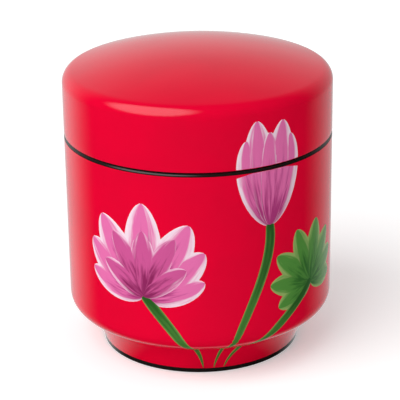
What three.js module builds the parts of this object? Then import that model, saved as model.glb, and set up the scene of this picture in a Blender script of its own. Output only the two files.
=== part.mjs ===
// Lacquer tea caddy: a round box on a small foot, with a domed lift-off lid over a black inner lid.
// Every piece is turned about the same axis. Millimetres, +Z up, origin at the centre of the underside.
import * as THREE from 'three';

// Round of the whole caddy
const OUTER_RADIUS = 50;
const ROUND_STEPS = 64;
const KNOB_STEPS = 32;

// Base board and foot
const BASE_RADIUS = 37.5;
const BASE_THICKNESS = 1.8;
const BASE_EDGE = 0.3;
const FOOT_BOTTOM_RADIUS = 37.6;
const FOOT_TOP_RADIUS = 42.6;
const FOOT_COVE = 0.4;
const FOOT_HEIGHT = 10.1;
const FOOT_SEAT = 4.6;

// Body wall and its floor
const LIP_INSET = 6.6;
const LIP_ROUND = 0.9;
const SHOULDER_HEIGHT = 10.2;
const SHOULDER_FULLNESS = 7.2;
const STRAIGHT_WALL = 59.6;
const WALL_THICKNESS = 5;
const SHELF_THICKNESS = 4;
const FLOOR_THICKNESS = 3;

// Black lining, whose rim lies on the body wall and whose collar guides the lid
const LINING_THICKNESS = 2;
const RIM_THICKNESS = 1.2;
const RIM_INSET = 0.15;
const RIM_CHAMFER = 0.8;
const COLLAR_RISE = 11.1;
const COLLAR_EDGE = 0.5;

// Lid
const LID_WALL_HEIGHT = 18.9;
const LID_EDGE = 0.3;
const LID_FILLET = 5.1;
const DOME_RADIUS = 154.5;
const CEILING_HOLLOW = 2.5;
const CEILING_LEDGE = 1.5;

// Inner lid and knob
const INNER_LID_THICKNESS = 1.7;
const PLUG_DEPTH = 3.3;
const INNER_LID_EDGE = 0.5;
const KNOB_FOOT_RADIUS = 5;
const KNOB_NECK_RADIUS = 3.4;
const KNOB_HEAD_RADIUS = 7;
const KNOB_NECK_HEIGHT = 1.6;
const KNOB_HEAD_HEIGHT = 3.2;

// Clearances
const FIT = 0.3;
const LID_FIT = 0.4;
const PLUG_FIT = 0.4;
const SEAM_GAP = 0.35;
const SEAT_GAP = 0.3;

// Heights and radii that follow from the sizes above
const footTop = BASE_THICKNESS + FOOT_HEIGHT;
const shelfTop = footTop + SHELF_THICKNESS;
const floorTop = shelfTop + FLOOR_THICKNESS;
const wallTop = footTop + SHOULDER_HEIGHT + STRAIGHT_WALL;
const rimTop = wallTop + RIM_THICKNESS;
const collarTop = rimTop + COLLAR_RISE;
const wallBore = OUTER_RADIUS - WALL_THICKNESS;
const shelfBore = FOOT_TOP_RADIUS - FOOT_SEAT;
const collarRadius = wallBore - FIT;
const liningBore = collarRadius - LINING_THICKNESS;
const lidBore = collarRadius + LID_FIT;

const redLacquer = new THREE.MeshStandardMaterial({ color: 0xb80a2e, roughness: 0.12, metalness: 0 });
const blackLacquer = new THREE.MeshStandardMaterial({ color: 0x0b0907, roughness: 0.2, metalness: 0 });

// A point of a profile: its distance from the axis and its height.
const at = (radius, height) => new THREE.Vector2(radius, height);

// Points along a circular arc of a profile, from one angle to another.
function arc(centre, radius, from, to, steps) {
  return new THREE.EllipseCurve(centre.x, centre.y, radius, radius, from, to).getPoints(steps);
}

// A piece turned from a profile that runs out along its underside, up its outside and back in.
function turned(name, profile, material, steps = ROUND_STEPS) {
  const geometry = new THREE.LatheGeometry(profile, steps);
  geometry.rotateX(Math.PI / 2);
  const piece = new THREE.Mesh(geometry, material.clone());
  piece.name = name;
  return piece;
}

// A ring's profile ends where it starts.
const ring = (profile) => [...profile, profile[0].clone()];

function footBase() {
  const profile = [
    at(0, 0),
    at(BASE_RADIUS - BASE_EDGE, 0),
    at(BASE_RADIUS, BASE_EDGE),
    at(BASE_RADIUS, BASE_THICKNESS),
    at(0, BASE_THICKNESS),
  ];
  return turned('foot_base', profile, blackLacquer);
}

// The foot widens upwards in a shallow cove.
function foot() {
  const bottom = at(FOOT_BOTTOM_RADIUS, BASE_THICKNESS);
  const top = at(FOOT_TOP_RADIUS, footTop);
  const middle = bottom.clone().lerp(top, 0.5).sub(at(2 * FOOT_COVE, 0));
  const cove = new THREE.QuadraticBezierCurve(bottom, middle, top).getPoints(4);
  return turned('foot', [at(0, BASE_THICKNESS), ...cove, at(0, footTop)], redLacquer);
}

// A wall with a rounded lip, a full shoulder and a shelf that lies on the foot and carries the floor.
function bodyWall() {
  const lipRadius = OUTER_RADIUS - LIP_INSET;
  const lip = arc(at(lipRadius - LIP_ROUND, footTop + LIP_ROUND), LIP_ROUND, -Math.PI / 2, -Math.PI / 5, 3);
  const shoulderTop = at(OUTER_RADIUS, footTop + SHOULDER_HEIGHT);
  const shoulder = new THREE.CubicBezierCurve(
    lip.at(-1),
    lip.at(-1).clone().add(at(SHOULDER_FULLNESS, SHOULDER_HEIGHT / 3)),
    shoulderTop.clone().sub(at(0, SHOULDER_HEIGHT / 3)),
    shoulderTop,
  ).getPoints(9);
  const profile = [
    at(shelfBore, footTop),
    ...lip,
    ...shoulder.slice(1),
    at(OUTER_RADIUS, wallTop),
    at(wallBore, wallTop),
    at(wallBore, shelfTop),
    at(shelfBore, shelfTop),
  ];
  return turned('body_wall', ring(profile), redLacquer);
}

function bodyFloor() {
  const radius = wallBore - FIT;
  const profile = [at(0, shelfTop), at(radius, shelfTop), at(radius, floorTop), at(0, floorTop)];
  return turned('body_floor', profile, blackLacquer);
}

// The sleeve stands on the floor, its rim covers the wall's end and its collar rises into the lid.
function lining() {
  const rimRadius = OUTER_RADIUS - RIM_INSET;
  const profile = [
    at(liningBore, floorTop),
    at(collarRadius, floorTop),
    at(collarRadius, wallTop),
    at(rimRadius, wallTop),
    at(rimRadius, rimTop - RIM_CHAMFER),
    at(rimRadius - RIM_CHAMFER, rimTop),
    at(collarRadius, rimTop),
    at(collarRadius, collarTop - COLLAR_EDGE),
    at(collarRadius - COLLAR_EDGE, collarTop),
    at(liningBore, collarTop),
  ];
  return turned('lining', ring(profile), blackLacquer);
}

// Heights in the lid are measured from its lower edge.
function lidWall() {
  const profile = [
    at(lidBore, 0),
    at(OUTER_RADIUS - LID_EDGE, 0),
    at(OUTER_RADIUS, LID_EDGE),
    at(OUTER_RADIUS, LID_WALL_HEIGHT),
    at(lidBore, LID_WALL_HEIGHT),
  ];
  return turned('lid_wall', ring(profile), redLacquer);
}

// A shallow dome that runs into the wall through a fillet tangent to both.
function lidTop() {
  const filletCentre = at(OUTER_RADIUS - LID_FILLET, LID_WALL_HEIGHT);
  const centreDrop = Math.sqrt((DOME_RADIUS - LID_FILLET) ** 2 - filletCentre.x ** 2);
  const domeCentre = at(0, LID_WALL_HEIGHT - centreDrop);
  const meet = Math.atan2(centreDrop, filletCentre.x);
  const fillet = arc(filletCentre, LID_FILLET, 0, meet, 6);
  const dome = arc(domeCentre, DOME_RADIUS, meet, Math.PI / 2, 7);
  dome.at(-1).x = 0;
  const hollowRadius = lidBore - CEILING_LEDGE;
  const ceiling = LID_WALL_HEIGHT + CEILING_HOLLOW;
  const profile = [
    at(0, ceiling),
    at(hollowRadius, ceiling),
    at(hollowRadius, LID_WALL_HEIGHT),
    ...fillet,
    ...dome.slice(1),
  ];
  return turned('lid_top', profile, redLacquer);
}

// Heights in the inner lid are measured from the underside of its flange.
function innerLid() {
  const plugRadius = liningBore - PLUG_FIT;
  const flangeRadius = collarRadius - FIT;
  const profile = [
    at(0, -PLUG_DEPTH),
    at(plugRadius - INNER_LID_EDGE, -PLUG_DEPTH),
    at(plugRadius, INNER_LID_EDGE - PLUG_DEPTH),
    at(plugRadius, 0),
    at(flangeRadius, 0),
    at(flangeRadius, INNER_LID_THICKNESS - INNER_LID_EDGE),
    at(flangeRadius - INNER_LID_EDGE, INNER_LID_THICKNESS),
    at(0, INNER_LID_THICKNESS),
  ];
  return turned('inner_lid', profile, blackLacquer);
}

// A button with a waisted neck and a rounded head.
function innerLidKnob() {
  const neck = at(KNOB_NECK_RADIUS, KNOB_NECK_HEIGHT);
  const head = at(KNOB_HEAD_RADIUS, KNOB_HEAD_HEIGHT);
  const waist = new THREE.QuadraticBezierCurve(neck, at(KNOB_NECK_RADIUS, KNOB_HEAD_HEIGHT), head).getPoints(3);
  const cap = arc(at(KNOB_HEAD_RADIUS - KNOB_NECK_HEIGHT, KNOB_HEAD_HEIGHT), KNOB_NECK_HEIGHT, 0, Math.PI / 2, 4);
  const profile = [
    at(0, 0),
    at(KNOB_FOOT_RADIUS, 0),
    ...waist,
    ...cap.slice(1),
    at(0, KNOB_HEAD_HEIGHT + KNOB_NECK_HEIGHT),
  ];
  return turned('inner_lid_knob', profile, blackLacquer, KNOB_STEPS);
}

const body = new THREE.Group();
body.add(footBase(), foot(), bodyWall(), bodyFloor(), lining());

const knob = innerLidKnob();
knob.position.z = INNER_LID_THICKNESS;
const innerLidGroup = new THREE.Group();
innerLidGroup.position.z = collarTop + SEAT_GAP;
innerLidGroup.add(innerLid(), knob);

const lid = new THREE.Group();
lid.position.z = rimTop + SEAM_GAP;
lid.add(lidWall(), lidTop());

const caddy = new THREE.Group();
caddy.add(body, innerLidGroup, lid);

export default caddy;
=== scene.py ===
"""Lacquer tea caddy: glossy red skins, black lining and a hand-brushed lotus design.

Lengths are metres in the frame's own axes, apart from the strokes' lines, which are millimetres on
the unrolled wall. Sizes come from the frame or from the values named below.
"""
from math import comb

import bmesh
import bpy
import numpy as np
from mathutils import Matrix, Vector


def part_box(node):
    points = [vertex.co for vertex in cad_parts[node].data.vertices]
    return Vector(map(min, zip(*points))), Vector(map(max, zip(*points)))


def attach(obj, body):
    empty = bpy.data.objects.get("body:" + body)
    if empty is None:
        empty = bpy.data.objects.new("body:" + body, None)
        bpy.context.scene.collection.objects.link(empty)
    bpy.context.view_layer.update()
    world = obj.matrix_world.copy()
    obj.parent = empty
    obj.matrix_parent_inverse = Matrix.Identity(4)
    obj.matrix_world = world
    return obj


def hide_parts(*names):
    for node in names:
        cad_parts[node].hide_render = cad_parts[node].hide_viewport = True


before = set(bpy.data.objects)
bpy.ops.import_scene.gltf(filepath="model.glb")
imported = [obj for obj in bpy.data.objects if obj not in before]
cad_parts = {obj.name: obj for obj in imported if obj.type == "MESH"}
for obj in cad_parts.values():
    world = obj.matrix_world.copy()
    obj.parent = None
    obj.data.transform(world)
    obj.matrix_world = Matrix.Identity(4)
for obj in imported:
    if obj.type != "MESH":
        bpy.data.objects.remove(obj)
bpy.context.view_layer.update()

MM = 0.001
ROUND_STEPS = 192
ON_AXIS = 1e-7

# Sizes that the frame gives
BASE_LOW, BASE_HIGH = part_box("foot_base")
FOOT_LOW, FOOT_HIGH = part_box("foot")
WALL_LOW, WALL_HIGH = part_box("body_wall")
FLOOR_LOW, FLOOR_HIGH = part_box("body_floor")
LINING_LOW, LINING_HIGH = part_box("lining")
INNER_LOW, INNER_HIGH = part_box("inner_lid")
KNOB_LOW, KNOB_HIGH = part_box("inner_lid_knob")
LID_WALL_LOW, LID_WALL_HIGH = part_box("lid_wall")
LID_TOP_LOW, LID_TOP_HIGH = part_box("lid_top")

# The lacquer skin lies this far inside the box, so that the painted strokes on it stay in the box
SKIN_INSET = 0.16 * MM
OUTER_RADIUS = WALL_HIGH[0] - SKIN_INSET
BASE_RADIUS = BASE_HIGH[0] - SKIN_INSET

# Walls and clearances inside
FIT = 0.3 * MM
LID_FIT = 0.4 * MM
PLUG_FIT = 0.4 * MM
LINING_THICKNESS = 2 * MM
BORE_RADIUS = FLOOR_HIGH[0] + FIT
COLLAR_RADIUS = INNER_HIGH[0] + FIT
LINING_BORE = COLLAR_RADIUS - LINING_THICKNESS
LINING_SEAM = 1 * MM
LID_BORE = COLLAR_RADIUS + LID_FIT
RIM_INSET = 0.1 * MM
RIM_THICKNESS = 1.2 * MM
RIM_CHAMFER = 0.8 * MM
CEILING_DEPTH = 2.5 * MM
CEILING_LEDGE = 1.5 * MM
PLUG_DEPTH = 3.3 * MM
EDGE_EASE = 0.25 * MM
INNER_LID_EASE = 0.45 * MM

# Knob
KNOB_FOOT_RADIUS = 5 * MM
KNOB_NECK_RADIUS = 3.4 * MM
KNOB_NECK_HEIGHT = 1.6 * MM
KNOB_WAIST_HEIGHT = 3.2 * MM

# Outside shapes
FOOT_BOTTOM_RADIUS = 37.5 * MM
FOOT_COVE = 0.4 * MM
LIP_INSET = 6.6 * MM
LIP_ROUND = 0.9 * MM
SHOULDER_HEIGHT = 10.2 * MM
SHOULDER_FULLNESS = 7.2 * MM
LID_EDGE_ROUND = 0.3 * MM
LID_EDGE_STEPS = 4
LID_WALL_STEPS = 9
LID_FILLET = 5.1 * MM
LID_FILLET_STEPS = 12

# Camera
TARGET = Vector((0.34, 0, 53.83)) * MM
CAMERA_DISTANCE = 643.8 * MM
CAMERA_ELEVATION = np.radians(21.41)
CAMERA_ROLL = np.radians(-0.81)
CAMERA_LENS = 153.05
SENSOR_WIDTH = 36

# Light
AMBIENT = 0.47
KEY_STRENGTH = 2.15
KEY_SIZE = 58
KEY_DIRECTION = Vector((-0.535, -0.481, 0.695))
SOFTBOX_LEVEL = 2.4
ROOM_RADIUS = 1.6
FLOOR_SIDE = 4
FLOOR_GLOW = 0.32


class Value:
    """A shader socket in an expression: each operator adds the Math node that works it out."""

    def __init__(self, tree, socket):
        self.tree = tree
        self.socket = socket

    def math(self, operation, *others):
        node = self.tree.nodes.new("ShaderNodeMath")
        node.operation = operation
        for place, term in enumerate((self, *others)):
            if isinstance(term, Value):
                self.tree.links.new(term.socket, node.inputs[place])
            else:
                node.inputs[place].default_value = term
        return Value(self.tree, node.outputs[0])

    def __add__(self, other):
        return self.math("ADD", other)

    def __sub__(self, other):
        return self.math("SUBTRACT", other)

    def __mul__(self, other):
        return self.math("MULTIPLY", other)

    def __rsub__(self, other):
        return (self * -1.0) + other

    __radd__ = __add__
    __rmul__ = __mul__

    def absolute(self):
        return self.math("ABSOLUTE")

    def fraction(self):
        return self.math("FRACT")

    def ramp(self, low, high):
        """Smooth step from 0 at low to 1 at high."""
        node = self.tree.nodes.new("ShaderNodeMapRange")
        node.interpolation_type = "SMOOTHSTEP"
        self.tree.links.new(self.socket, node.inputs["Value"])
        node.inputs["From Min"].default_value = low
        node.inputs["From Max"].default_value = high
        return Value(self.tree, node.outputs["Result"])


class Finish:
    """A material under construction, with its shader and the few nodes that patterns need."""

    def __init__(self, name, roughness, color):
        self.material = bpy.data.materials.new(name)
        self.material.use_nodes = True
        self.tree = self.material.node_tree
        self.shader = self.tree.nodes["Principled BSDF"]
        self.shader.inputs["Roughness"].default_value = roughness
        self.shader.inputs["Base Color"].default_value = (*color, 1)

    def node(self, kind, settings=None, **sockets):
        """Add a node, set its settings first and then the values or links of its sockets."""
        node = self.tree.nodes.new(kind)
        for key, value in (settings or {}).items():
            setattr(node, key, value)
        for key, value in sockets.items():
            self.feed(node.inputs[key], value)
        return node

    def feed(self, socket, value):
        """Link a value to a socket, or set a number, vector or colour on it."""
        if isinstance(value, Value):
            self.tree.links.new(value.socket, socket)
        elif socket.type == "RGBA":
            socket.default_value = (*value, 1)
        else:
            socket.default_value = value

    def place(self, output="Object", scale=(1, 1, 1)):
        """Coordinates on the piece: its own Object coordinates or its UV map, scaled."""
        coordinates = self.node("ShaderNodeTexCoord")
        mapping = self.node("ShaderNodeMapping", Scale=scale,
                            Vector=Value(self.tree, coordinates.outputs[output]))
        return Value(self.tree, mapping.outputs[0])

    def parts(self, vector):
        """The three components of a vector, each as a value."""
        split = self.node("ShaderNodeSeparateXYZ", Vector=vector)
        return [Value(self.tree, output) for output in split.outputs]

    def noise(self, where, scale, detail):
        node = self.node("ShaderNodeTexNoise", Vector=where, Scale=scale, Detail=detail)
        return Value(self.tree, node.outputs["Fac"])

    def mix(self, factor, first, second):
        """Mix two colours by a value: each is a colour or the output of another mix."""
        node = self.node("ShaderNodeMix", {"data_type": "RGBA"})
        factor_socket, first_socket, second_socket = node.inputs[0], node.inputs[6], node.inputs[7]
        self.feed(factor_socket, factor)
        self.feed(first_socket, first)
        self.feed(second_socket, second)
        return Value(self.tree, node.outputs[2])

    def drive(self, socket, value):
        self.feed(self.shader.inputs[socket], value)

    def bump(self, height, distance, strength):
        node = self.node("ShaderNodeBump", Height=height, Distance=distance, Strength=strength)
        self.drive("Normal", Value(self.tree, node.outputs[0]))


def directly_seen(tree):
    """1 for camera, glossy and transmission rays, which see the white background, and 0 for others."""
    path = tree.nodes.new("ShaderNodeLightPath")
    camera, glossy, through = (Value(tree, path.outputs[f"Is {kind} Ray"])
                               for kind in ("Camera", "Glossy", "Transmission"))
    return camera.math("MAXIMUM", glossy).math("MAXIMUM", through)


def lacquer(name, color, deep, roughness):
    """Polished lacquer: slow waves left by sanding, a few dust nibs and slightly cloudy colour."""
    finish = Finish(name, roughness, color)
    where = finish.place()
    waves = finish.noise(where, 28.0, 1.0)
    nibs = finish.noise(where, 900.0, 0.0).ramp(0.80, 0.86)
    clouds = finish.noise(where, 45.0, 4.0).ramp(0.35, 0.75)
    finish.drive("Base Color", finish.mix(clouds * 0.35, color, deep))
    finish.drive("Roughness", clouds * 0.03 + roughness)
    finish.bump(waves + nibs * 0.08, 0.35 * MM, 0.5)
    return finish.material


def brushed_paint(name, edge, middle, deep, hair_count):
    """Thick brushed paint on the strokes' own UV: deep at the root, pale edges, hairs along the stroke."""
    finish = Finish(name, 0.22, middle)
    along, across, _ = finish.parts(finish.place("UV"))
    part = along.fraction()
    hairs = finish.noise(finish.place("UV", (2.5, hair_count, 1)), 1.0, 4.0)
    rim = (across - 0.5).absolute() * 2.0
    pale = (rim + (hairs - 0.5) * 0.9 + part * 0.25).ramp(0.62, 1.05)
    dark = (hairs * 1.3 - part * 0.8).ramp(0.15, 0.62)
    finish.drive("Base Color", finish.mix(pale, finish.mix(dark, middle, deep), edge))
    finish.bump(hairs, 0.12 * MM, 0.7)
    return finish.material


RED = lacquer("red_lacquer_gloss", (0.80, 0.0015, 0.032), (0.66, 0.0012, 0.026), 0.05)
BLACK = lacquer("black_lacquer_gloss", (0.012, 0.010, 0.009), (0.020, 0.016, 0.013), 0.12)
PETAL = brushed_paint("petal_paint", (0.92, 0.72, 0.82), (0.80, 0.16, 0.42), (0.42, 0.035, 0.19), 9.0)
HEART = brushed_paint("inner_petal_paint", (0.90, 0.55, 0.72), (0.62, 0.09, 0.30), (0.27, 0.018, 0.11), 9.0)
LEAF = brushed_paint("leaf_paint", (0.30, 0.46, 0.13), (0.085, 0.29, 0.045), (0.03, 0.15, 0.022), 7.0)
STEM = brushed_paint("stem_paint", (0.16, 0.32, 0.07), (0.055, 0.20, 0.03), (0.02, 0.11, 0.015), 3.0)


def arc(centre, radius, start, end, steps):
    """Points of a circular arc of a profile: centre plus radius times (cosine, sine) of the angle."""
    angle = np.linspace(start, end, steps + 1)
    return np.stack([centre[0] + radius * np.cos(angle), centre[1] + radius * np.sin(angle)], 1)


def bezier(points, steps):
    """Points of a Bezier curve: the sum of its control points weighted by Bernstein polynomials."""
    degree = len(points) - 1
    order = np.arange(degree + 1)
    counts = np.array([comb(degree, k) for k in order])
    t = np.linspace(0, 1, steps + 1)[:, None]
    return (counts * t ** order * (1 - t) ** (degree - order)) @ np.array(points, float)


def upright(radius, low, high, steps):
    """Points straight up a wall, above its lowest one."""
    heights = np.linspace(low, high, steps + 1)[1:]
    return np.stack([np.full(steps, radius), heights], 1)


def finish_mesh(name, vertices, faces, materials, slots=None, smooth_angle=35):
    """Make an object of a mesh, smooth apart from edges sharper than the angle in degrees."""
    mesh = bpy.data.meshes.new(name)
    mesh.from_pydata(vertices.tolist(), [], faces)
    for material in materials:
        mesh.materials.append(material)
    if slots is not None:
        mesh.polygons.foreach_set("material_index", slots)
    mesh.shade_smooth()
    mesh.set_sharp_from_angle(angle=np.radians(smooth_angle))
    piece = bpy.data.objects.new(name, mesh)
    bpy.context.collection.objects.link(piece)
    return piece


def ride(piece, body, slot, *nodes):
    """Tie a piece to its body, in place of the nodes that it stands for, which are hidden. The slot is not
    used.
    """
    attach(piece, body)
    if nodes:
        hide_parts(*nodes)


def turned(name, outside, inside, materials):
    """A solid of revolution: each profile point (radius, height) goes round the Z axis.

    The profile is closed. The faces up to the end of the outside take the first material, the rest
    the last. A point on the axis is one vertex, and its faces are triangles.
    """
    profile = np.array([*outside, *inside])
    count = len(profile)
    on_axis = profile[:, 0] < ON_AXIS
    step = np.arange(ROUND_STEPS)
    turn = step * 2 * np.pi / ROUND_STEPS
    circle = np.stack([np.cos(turn), np.sin(turn)], 1)
    level = np.broadcast_to(profile[:, None, 1:], (count, ROUND_STEPS, 1))
    grid = np.concatenate([profile[:, None, :1] * circle, level], -1)
    own = ~on_axis[:, None] | (step == 0)
    size = own.sum(1)
    rows = (np.cumsum(size) - size)[:, None] + np.where(on_axis[:, None], 0, step)
    above = np.roll(rows, -1, 0)
    quads = np.stack([rows, np.roll(rows, -1, 1), np.roll(above, -1, 1), above], -1)
    visible = ~(on_axis & np.roll(on_axis, -1))
    faces = [list(dict.fromkeys(quad)) for quad in quads[visible].reshape(-1, 4).tolist()]
    slots = np.where(np.arange(count) < len(outside) - 1, 0, len(materials) - 1)
    return finish_mesh(name, grid[own], faces, materials, np.repeat(slots[visible], ROUND_STEPS))


def eased(points, radius=EDGE_EASE):
    """A profile whose inner corners are each rounded by a small curve, so that the edges catch light."""
    points = [np.array(point, float) for point in points]
    result = [points[0]]
    for before, corner, after in zip(points, points[1:], points[2:]):
        back = corner + (before - corner) * min(radius / np.linalg.norm(before - corner), 0.45)
        ahead = corner + (after - corner) * min(radius / np.linalg.norm(after - corner), 0.45)
        result.extend(bezier([back, corner, ahead], 3))
    result.append(points[-1])
    return result


def body_outside():
    """The foot's cove, the rounded lip, the full shoulder and the straight wall."""
    foot_top = WALL_LOW[2]
    foot_bottom = np.array([FOOT_BOTTOM_RADIUS, FOOT_LOW[2]])
    foot_end = np.array([FOOT_HIGH[0] - SKIN_INSET, foot_top])
    middle = (foot_bottom + foot_end) / 2 - (2 * FOOT_COVE, 0)
    cove = bezier([foot_bottom, middle, foot_end], 12)
    lip_centre = (OUTER_RADIUS - LIP_INSET - LIP_ROUND, foot_top + LIP_ROUND)
    lip = arc(lip_centre, LIP_ROUND, -np.pi / 2, -np.pi / 5, 8)
    top = np.array([OUTER_RADIUS, foot_top + SHOULDER_HEIGHT])
    third = SHOULDER_HEIGHT / 3
    shoulder = bezier([lip[-1], lip[-1] + (SHOULDER_FULLNESS, third), top - (0, third), top], 32)
    wall = upright(OUTER_RADIUS, top[1], WALL_HIGH[2], 23)
    return np.concatenate([cove[:-1], lip, shoulder[1:], wall])


def lid_outside():
    """The eased lower edge, the wall, the fillet and the dome that is tangent to it."""
    edge_centre = (OUTER_RADIUS - LID_EDGE_ROUND, LID_WALL_LOW[2] + LID_EDGE_ROUND)
    edge = arc(edge_centre, LID_EDGE_ROUND, -np.pi / 2, 0, LID_EDGE_STEPS)
    wall = upright(OUTER_RADIUS, edge[-1][1], LID_TOP_LOW[2], LID_WALL_STEPS)
    across = OUTER_RADIUS - LID_FILLET
    rise = LID_TOP_HIGH[2] - SKIN_INSET / 4 - LID_TOP_LOW[2]
    radius = (across ** 2 + rise ** 2 - LID_FILLET ** 2) / (2 * (rise - LID_FILLET))
    drop = radius - rise
    meet = np.arctan2(drop, across)
    fillet = arc((across, LID_TOP_LOW[2]), LID_FILLET, 0, meet, LID_FILLET_STEPS)
    dome = arc((0, LID_TOP_LOW[2] - drop), radius, meet, np.pi / 2, 32)
    dome[-1][0] = 0
    return np.concatenate([edge, wall, fillet[1:], dome[1:]])


def make_body_skin():
    inside = [(BORE_RADIUS, WALL_HIGH[2]), (BORE_RADIUS, FLOOR_LOW[2]), (0, FLOOR_LOW[2])]
    skin = turned("body_skin", [(0, FOOT_LOW[2]), *body_outside()], inside, [RED, BLACK])
    ride(skin, "body", "red_lacquer", "body_wall", "foot")


def make_lid_skin():
    ceiling = LID_TOP_LOW[2] + CEILING_DEPTH
    hollow = LID_BORE - CEILING_LEDGE
    inside = [
        (0, ceiling),
        (hollow, ceiling),
        (hollow, LID_TOP_LOW[2]),
        (LID_BORE, LID_TOP_LOW[2]),
        (LID_BORE, LID_WALL_LOW[2]),
    ]
    skin = turned("lid_skin", lid_outside(), inside, [RED, BLACK])
    ride(skin, "lid", "red_lacquer", "lid_wall", "lid_top")


def make_base_board():
    low, high = BASE_LOW[2], BASE_HIGH[2]
    profile = eased([(0, low), (BASE_RADIUS, low), (BASE_RADIUS, high)])
    ride(turned("base_board", profile, [(0, high)], [BLACK]), "body", "black_lacquer", "foot_base")


def make_floor_board():
    low, high = FLOOR_LOW[2], FLOOR_HIGH[2]
    radius = FLOOR_HIGH[0]
    profile = eased([(0, low), (radius, low), (radius, high), (0, high)])
    ride(turned("floor_board", profile, [], [BLACK]), "body", "black_lacquer", "body_floor")


def make_lining():
    """The sleeve with its rim on the wall's end and its collar above. Its joint lies low on the bore."""
    low, top = LINING_LOW[2], LINING_HIGH[2]
    rim = LINING_HIGH[0] - RIM_INSET
    rim_low = WALL_HIGH[2]
    rim_high = rim_low + RIM_THICKNESS
    profile = eased([
        (LINING_BORE, low),
        (COLLAR_RADIUS, low),
        (COLLAR_RADIUS, rim_low),
        (rim, rim_low),
        (rim, rim_high - RIM_CHAMFER),
        (rim - RIM_CHAMFER, rim_high),
        (COLLAR_RADIUS, rim_high),
        (COLLAR_RADIUS, top),
        (LINING_BORE, top),
        (LINING_BORE, low + LINING_SEAM),
    ])
    ride(turned("lining_sleeve", profile, [], [BLACK]), "body", "black_lacquer", "lining")


def make_inner_lid():
    low, high = INNER_LOW[2], INNER_HIGH[2]
    flange = INNER_HIGH[0]
    flange_low = low + PLUG_DEPTH
    plug = LINING_BORE - PLUG_FIT
    profile = eased([
        (0, low),
        (plug, low),
        (plug, flange_low),
        (flange, flange_low),
        (flange, high),
        (0, high),
    ], INNER_LID_EASE)
    ride(turned("inner_lid_disc", profile, [], [BLACK]), "inner_lid", "black_lacquer", "inner_lid")


def make_knob():
    low, top = KNOB_LOW[2], KNOB_HIGH[2]
    neck, head = KNOB_NECK_RADIUS, KNOB_HIGH[0]
    waist_top = low + KNOB_WAIST_HEIGHT
    waist = bezier([(neck, low + KNOB_NECK_HEIGHT), (neck, waist_top), (head, waist_top)], 10)
    crown = bezier([(head, waist_top), (head, top), (head / 2, top), (0, top)], 12)
    profile = [(0, low), (KNOB_FOOT_RADIUS, low), *waist, *crown[1:]]
    ride(turned("knob_button", profile, [], [BLACK]), "inner_lid", "black_lacquer", "inner_lid_knob")


class Surface:
    """A painted face: its profile measured along its own run, so that run equals height on the wall."""

    def __init__(self, profile, level):
        steps = np.linalg.norm(np.diff(profile, axis=0), axis=1)
        run = np.concatenate([[0], np.cumsum(steps)])
        slope = np.gradient(profile, axis=0)
        self.run = run - np.interp(level, profile[:, 1], run) + level
        self.profile = profile
        self.normal = np.stack([slope[:, 1], -slope[:, 0]], 1) / np.linalg.norm(slope, axis=1)[:, None]

    def wrap(self, side, height, lift):
        """The point at an arc length sideways and a run upwards, lifted along the surface's normal."""
        radius, level = (np.interp(height, self.run, self.profile[:, k])
                         + lift * np.interp(height, self.run, self.normal[:, k]) for k in (0, 1))
        angle = side / OUTER_RADIUS
        return np.stack([radius * np.sin(angle), -radius * np.cos(angle), level], -1)


# The lid's painted face runs from the top of its edge to the end of its fillet
LID_FACE_END = LID_EDGE_STEPS + LID_WALL_STEPS + LID_FILLET_STEPS + 1
LID_START = LID_WALL_LOW[2] + LID_EDGE_ROUND
BODY_FACE = Surface(body_outside(), WALL_HIGH[2])
LID_FACE = Surface(lid_outside()[LID_EDGE_STEPS:LID_FACE_END], LID_START)

# Brush strokes: steps along and across, the ends left off, and how the paint lies on the lacquer
STROKE_ROWS = 40
STROKE_COLUMNS = 14
STROKE_END = 0.004
LINE_STEPS = 200
TIP_POWER = 0.6
PAINT_SINK = 0.08 * MM
EDGE_SINK = 0.01 * MM


def stroke_centre(line, low, high):
    """Share along a stroke's Bezier line at each row, and the row's place, between two heights."""
    path = bezier(np.array(line) * MM, LINE_STEPS)
    share = np.linspace(0, 1, LINE_STEPS + 1)
    inside = share[(path[:, 1] > low) & (path[:, 1] < high)]
    u = np.linspace(max(inside[0], STROKE_END), min(inside[-1], 1 - STROKE_END), STROKE_ROWS)
    return u, np.stack([np.interp(u, share, path[:, 0]), np.interp(u, share, path[:, 1])], 1)


def stroke_section(lift):
    """Once round a stroke: the place across from -1 to 1, and the height over the lacquer."""
    upper = np.cos(np.linspace(np.pi, 0, STROKE_COLUMNS))
    across = np.concatenate([upper, upper[::-1][1:-1]])
    crown = lift * MM * np.sqrt(np.maximum(1 - across ** 2, 0)) - EDGE_SINK
    return across, np.where(np.arange(len(across)) < STROKE_COLUMNS, crown, -PAINT_SINK)


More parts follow.
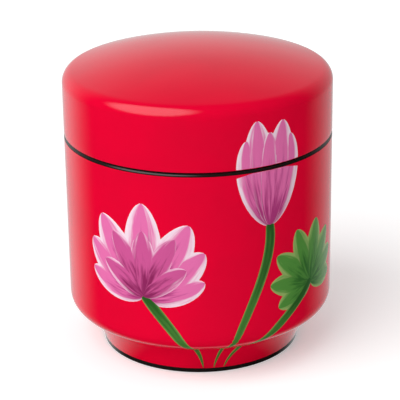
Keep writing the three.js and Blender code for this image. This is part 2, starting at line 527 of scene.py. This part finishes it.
def stroke(face, line, width, lift, number, swell=0.55, low=-np.inf, high=np.inf):
    """One brush stroke: a flat closed tube along a Bezier line on the unrolled face.

    Its half width is u to the swell times (1 - u) to the tip power, scaled to half the width at its
    widest place. Its upper side is half an ellipse and its underside lies just below the lacquer.
    Low and high cut it off level at a height. The number sets its share of the brush hairs apart.
    """
    u, centre = stroke_centre(line, low, high)
    direction = np.gradient(centre, axis=0)
    direction /= np.linalg.norm(direction, axis=1)[:, None]
    side = np.stack([direction[:, 1], -direction[:, 0]], 1)
    widest = swell / (swell + TIP_POWER)
    shape = (u / widest) ** swell * ((1 - u) / (1 - widest)) ** TIP_POWER
    across, rise = stroke_section(lift)
    spread = width * MM / 2 * shape[:, None] * across
    sideways = centre[:, :1] + side[:, :1] * spread
    height = np.clip(centre[:, 1:] + side[:, 1:] * spread, low, high)
    vertices = face.wrap(sideways, height, np.broadcast_to(rise, spread.shape))
    uv = np.stack(np.broadcast_arrays(u[:, None] + number, (across + 1) / 2), -1)
    index = np.arange(spread.size).reshape(spread.shape)
    quads = np.stack([index[:-1], np.roll(index[:-1], -1, 1), np.roll(index[1:], -1, 1), index[1:]], -1)
    faces = quads.reshape(-1, 4).tolist() + [index[0][::-1].tolist(), index[-1].tolist()]
    return vertices.reshape(-1, 3), faces, uv.reshape(-1, 2)


def painted(name, body, material, strokes):
    """Join strokes into one piece, with their UV, and turn their faces outwards."""
    points, polygons, places = zip(*strokes)
    starts = np.cumsum([0] + [len(part) for part in points]).tolist()
    faces = [[corner + start for corner in polygon]
             for start, part in zip(starts, polygons) for polygon in part]
    piece = finish_mesh(name, np.concatenate(points), faces, [material])
    mesh = piece.data
    edit = bmesh.new()
    edit.from_mesh(mesh)
    bmesh.ops.recalc_face_normals(edit, faces=edit.faces)
    edit.to_mesh(mesh)
    edit.free()
    layer = mesh.uv_layers.new(name="strokes")
    corner = np.empty(len(mesh.loops), int)
    mesh.loops.foreach_get("vertex_index", corner)
    layer.data.foreach_set("uv", np.concatenate(places)[corner].ravel())
    ride(piece, body, "red_lacquer")


def petal_line(root, angle, length, bend):
    """A petal's line from its root, leaning by an angle from upright and bending at its tip."""
    lean = np.radians(angle)
    reach = np.radians(angle + bend)
    middle = np.array(root) + length * 0.55 * np.array([np.sin(lean), np.cos(lean)])
    tip = middle + length * 0.5 * np.array([np.sin(reach), np.cos(reach)])
    return [root, middle, tip]


def petals(face, root, shapes, lift, layer, **cut):
    """Petals from one root, each a little higher than the last, so that the later ones lie on top."""
    return [stroke(face, petal_line(root, lean, length, bend), width, lift + layer * k, k, **cut)
            for k, (lean, length, bend, width) in enumerate(shapes)]


# Roots are millimetres sideways and up on the unrolled wall.
# A petal or ray has its lean and length, its bend, and its width, in degrees and millimetres.
BLOOM_ROOT = (-21, 35)
OUTER_PETALS = [
    (-84, 23, 22, 10),
    (84, 23, -22, 10),
    (-60, 28, 18, 13),
    (60, 28, -18, 13),
    (-36, 32, 10, 14.5),
    (36, 32, -10, 14.5),
    (0, 34, 0, 15),
]
INNER_PETALS = [
    (-24, 25, -8, 12),
    (24, 25, 8, 12),
    (0, 24, 0, 13),
    (-48, 19, -14, 10),
    (48, 19, 14, 10),
]

# The bud crosses the seam
BUD_ROOT = (26, 61)
BUD_PETALS = [
    (-27, 33, 24, 11.5),
    (27, 33, -24, 11.5),
    (-12, 38, 10, 13),
    (13, 37, -10, 13),
    (0, 33, 0, 12),
]

LEAF_ROOT = (47, 33)
LEAF_RAYS = [
    (-104, 17, -8, 9),
    (-76, 20, -6, 10),
    (-48, 22, -4, 10),
    (-20, 23, 0, 10),
    (8, 23, 2, 10),
    (36, 21, 6, 10),
    (64, 19, 8, 9.5),
    (92, 16, 8, 9),
]

# The stems run down over the lip and the foot to the base board: each has its line and its width
STEM_LINES = [
    ([(-21, 36), (-14, 26), (-2, 16), (1, -3)], 4.2),
    ([(26, 62), (29, 43), (11, 22), (6, -3)], 4.0),
    ([(47, 34), (38, 24), (17, 16), (11, -3)], 3.8),
]
STEM_LIFT = 0.10
STEM_SWELL = 0.12
STEM_FOOT_GAP = 0.2 * MM
BUD_SEAM_GAP = 0.1 * MM


def make_painting():
    """The stems first, then the leaf, the bloom's two rings of petals and the bud's two halves."""
    bottom = BODY_FACE.run[0] + STEM_FOOT_GAP
    painted("painted_stems", "body", STEM,
            [stroke(BODY_FACE, line, width, STEM_LIFT, k, swell=STEM_SWELL, low=bottom)
             for k, (line, width) in enumerate(STEM_LINES)])
    painted("painted_leaf", "body", LEAF, petals(BODY_FACE, LEAF_ROOT, LEAF_RAYS, 0.07, 0.004))
    painted("painted_outer_petals", "body", PETAL, petals(BODY_FACE, BLOOM_ROOT, OUTER_PETALS, 0.08, 0.005))
    painted("painted_inner_petals", "body", HEART, petals(BODY_FACE, BLOOM_ROOT, INNER_PETALS, 0.125, 0.006))
    wall_end = WALL_HIGH[2] - BUD_SEAM_GAP
    painted("painted_bud_lower", "body", PETAL,
            petals(BODY_FACE, BUD_ROOT, BUD_PETALS, 0.08, 0.012, high=wall_end))
    painted("painted_bud_upper", "lid", PETAL,
            petals(LID_FACE, BUD_ROOT, BUD_PETALS, 0.08, 0.012, low=LID_START))


def aim_camera():
    """The camera's place and tilt, with a small roll about the line of sight."""
    cos_up, sin_up = np.cos(CAMERA_ELEVATION), np.sin(CAMERA_ELEVATION)
    position = TARGET + CAMERA_DISTANCE * Vector((0, -cos_up, sin_up))
    forward = Vector((0, cos_up, -sin_up))
    right = Vector((1, 0, 0))
    up = right.cross(forward)
    across = np.cos(CAMERA_ROLL) * right + np.sin(CAMERA_ROLL) * up
    upward = -np.sin(CAMERA_ROLL) * right + np.cos(CAMERA_ROLL) * up
    data = bpy.data.cameras.new("camera")
    data.lens = CAMERA_LENS
    data.sensor_width = SENSOR_WIDTH
    data.clip_end = 10
    camera = bpy.data.objects.new("camera", data)
    turn = Matrix((across, upward, -forward)).transposed()
    camera.matrix_world = Matrix.Translation(position) @ turn.to_4x4()
    bpy.context.collection.objects.link(camera)
    bpy.context.scene.camera = camera


def light_world():
    """A white background for what is seen directly, and a plain even light for everything else."""
    world = bpy.data.worlds.new("surround")
    world.use_nodes = True
    bpy.context.scene.world = world
    tree = world.node_tree
    background = tree.nodes["Background"]
    background.inputs["Color"].default_value = (1, 1, 1, 1)
    level = directly_seen(tree) * (1 - AMBIENT) + AMBIENT
    tree.links.new(level.socket, background.inputs["Strength"])


def light_key():
    """A soft key light from the left front."""
    sun = bpy.data.lights.new("key", "SUN")
    sun.energy = KEY_STRENGTH
    sun.angle = np.radians(KEY_SIZE)
    key = bpy.data.objects.new("key", sun)
    key.rotation_euler = KEY_DIRECTION.to_track_quat("Z", "Y").to_euler()
    bpy.context.collection.objects.link(key)


def grid_piece(name, point, columns, rows):
    """A sheet whose points are a function of u and v, each from 0 to 1."""
    u, v = np.meshgrid(np.linspace(0, 1, columns), np.linspace(0, 1, rows))
    vertices = np.stack(point(u, v), -1).reshape(-1, 3)
    index = np.arange(rows * columns).reshape(rows, columns)
    quads = np.stack([index[:-1, :-1], index[:-1, 1:], index[1:, 1:], index[1:, :-1]], -1)
    mesh = bpy.data.meshes.new(name)
    mesh.from_pydata(vertices.tolist(), [], quads.reshape(-1, 4).tolist())
    mesh.shade_smooth()
    piece = bpy.data.objects.new(name, mesh)
    bpy.context.collection.objects.link(piece)
    return piece


def floor_point(u, v):
    """A flat square about the origin."""
    return (u - 0.5) * FLOOR_SIDE, (v - 0.5) * FLOOR_SIDE, u * 0


def room_point(u, v):
    """A sphere: azimuth goes once round with u, and elevation runs from nadir to zenith with v."""
    azimuth = u * 2 * np.pi
    elevation = (v - 0.5) * np.pi * 0.998
    flat = ROOM_RADIUS * np.cos(elevation)
    return flat * np.cos(azimuth), flat * np.sin(azimuth), ROOM_RADIUS * np.sin(elevation)


def floor_finish():
    """A pale floor, lifted to white for the camera where nothing shades it."""
    finish = Finish("pale_floor", 0.9, (0.86, 0.86, 0.86))
    finish.shader.inputs["Specular IOR Level"].default_value = 0
    glow = finish.node("ShaderNodeEmission", Strength=directly_seen(finish.tree) * FLOOR_GLOW)
    both = finish.node("ShaderNodeAddShader")
    finish.tree.links.new(finish.shader.outputs[0], both.inputs[0])
    finish.tree.links.new(glow.outputs[0], both.inputs[1])
    finish.tree.links.new(both.outputs[0], finish.tree.nodes["Material Output"].inputs["Surface"])
    return finish.material


def room_finish():
    """The room in reflections: white behind the caddy near the horizon, a softbox at the key light,
    and dark in front and overhead."""
    finish = Finish("reflected_room", 1, (0, 0, 0))
    side, depth, height = (part * (1 / ROOM_RADIUS) for part in finish.parts(finish.place()))
    behind = depth.ramp(0.12, 0.75)
    low = 1 - height.ramp(0.22, 1.0) * 0.8
    towards_key = side * KEY_DIRECTION.x + depth * KEY_DIRECTION.y + height * KEY_DIRECTION.z
    softbox = towards_key.ramp(0.80, 0.93) * SOFTBOX_LEVEL
    level = behind * low * (0.70 - side * 0.2) + softbox
    emission = finish.node("ShaderNodeEmission", Strength=level)
    output = finish.tree.nodes["Material Output"]
    finish.tree.links.new(emission.outputs[0], output.inputs["Surface"])
    return finish.material


def make_studio():
    """A pale floor, and a room that only reflections see."""
    floor = grid_piece("floor", floor_point, 2, 2)
    floor.data.materials.append(floor_finish())
    floor.visible_glossy = False
    room = grid_piece("reflected_room", room_point, 48, 25)
    room.data.materials.append(room_finish())
    room.visible_camera = False
    room.visible_diffuse = False
    room.visible_shadow = False
    room.visible_transmission = False


bpy.context.scene.view_settings.view_transform = "Standard"
aim_camera()
light_world()
light_key()
make_studio()
make_body_skin()
make_lid_skin()
make_base_board()
make_floor_board()
make_lining()
make_inner_lid()
make_knob()
make_painting()
